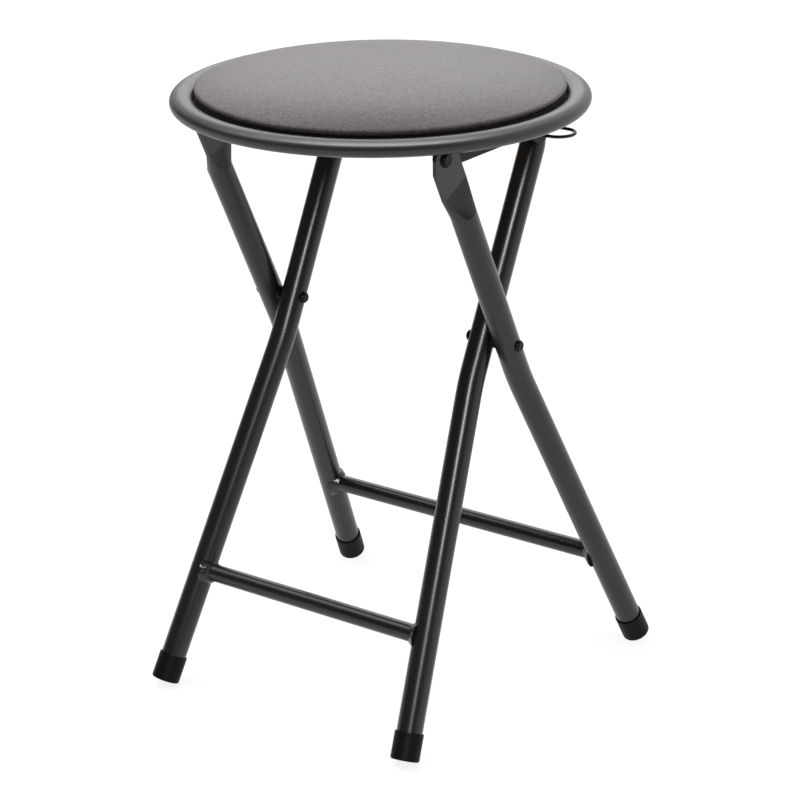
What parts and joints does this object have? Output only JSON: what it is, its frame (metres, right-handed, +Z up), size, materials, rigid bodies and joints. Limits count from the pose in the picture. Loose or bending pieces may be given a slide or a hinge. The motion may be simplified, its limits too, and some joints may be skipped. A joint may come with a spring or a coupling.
{
  "type": "round folding stool",
  "caption": "Round folding stool: padded seat in a tube ring, hinged on crossed bent-tube legs with crossbars, capped feet and a wire latch under the seat.",
  "frame": {"origin": "on the floor under the middle of the seat, with the stool open", "axes": "+Z up, +X along the crossbars, +Y towards the feet of the outer legs"},
  "size_m": [0.302, 0.302, 0.4665],
  "materials": {
    "frame_paint": "satin-gloss charcoal powder coat",
    "ring_paint": "satin-gloss charcoal powder coat",
    "weld_paint": "painted weld bead",
    "rail_paint": "satin charcoal powder coat",
    "cap_plastic": "moulded, slightly glossy",
    "saddle_plastic": "moulded",
    "bush_nylon": "moulded",
    "rivet_steel": "blackened",
    "screw_steel": "zinc plated",
    "wire_steel": "black coated wire",
    "board_wood": "raw fibreboard",
    "pad_vinyl": "fine-grain vinyl leatherette"
  },
  "bodies": {
    "outer_frame": {"outer_leg_left": "frame_paint", "outer_leg_right": "frame_paint", "outer_crossbar": "frame_paint", "outer_crossbar_welds": "weld_paint", "outer_foot_cap_left": "cap_plastic", "outer_foot_cap_right": "cap_plastic", "pivot_rivet_left": "rivet_steel", "hinge_rivet_left": "rivet_steel", "pivot_bush_left": "bush_nylon", "pivot_rivet_right": "rivet_steel", "hinge_rivet_right": "rivet_steel", "pivot_bush_right": "bush_nylon", "hinge_washers": "bush_nylon"},
    "inner_frame": {"inner_leg_frame": "frame_paint", "inner_crossbar": "frame_paint", "inner_crossbar_welds": "weld_paint", "inner_foot_cap_left": "cap_plastic", "inner_foot_cap_right": "cap_plastic"},
    "seat": {"seat_ring": "ring_paint", "seat_board": "board_wood", "seat_pad": "pad_vinyl", "seat_rail_left": "rail_paint", "seat_rail_right": "rail_paint", "rail_welds": "weld_paint", "board_screws": "screw_steel", "bar_saddle_left": "saddle_plastic", "bar_saddle_right": "saddle_plastic", "saddle_screws": "screw_steel"},
    "latch": {"latch_wire": "wire_steel"}
  },
  "joints": [
    {"name": "leg_fold", "type": "hinge", "parent": "outer_frame", "child": "inner_frame", "pos_m": [0, 0.0025, 0.2785], "axis": [1, 0, 0], "range_deg": [0, 48]},
    {"name": "seat_fold", "type": "hinge", "parent": "outer_frame", "child": "seat", "pos_m": [0, -0.06924, 0.4309], "axis": [1, 0, 0], "range_deg": [0, 94]},
    {"name": "latch_swing", "type": "hinge", "parent": "seat", "child": "latch", "pos_m": [0, 0.06044, 0.418], "axis": [-1, 0, 0], "range_deg": [0, 30], "stiffness_Nm_per_rad": 0.02, "springref_deg": -11.46}
  ],
  "couplings": [
    {"joint": "seat_fold", "follows": "leg_fold", "ratio": 1.958}
  ]
}
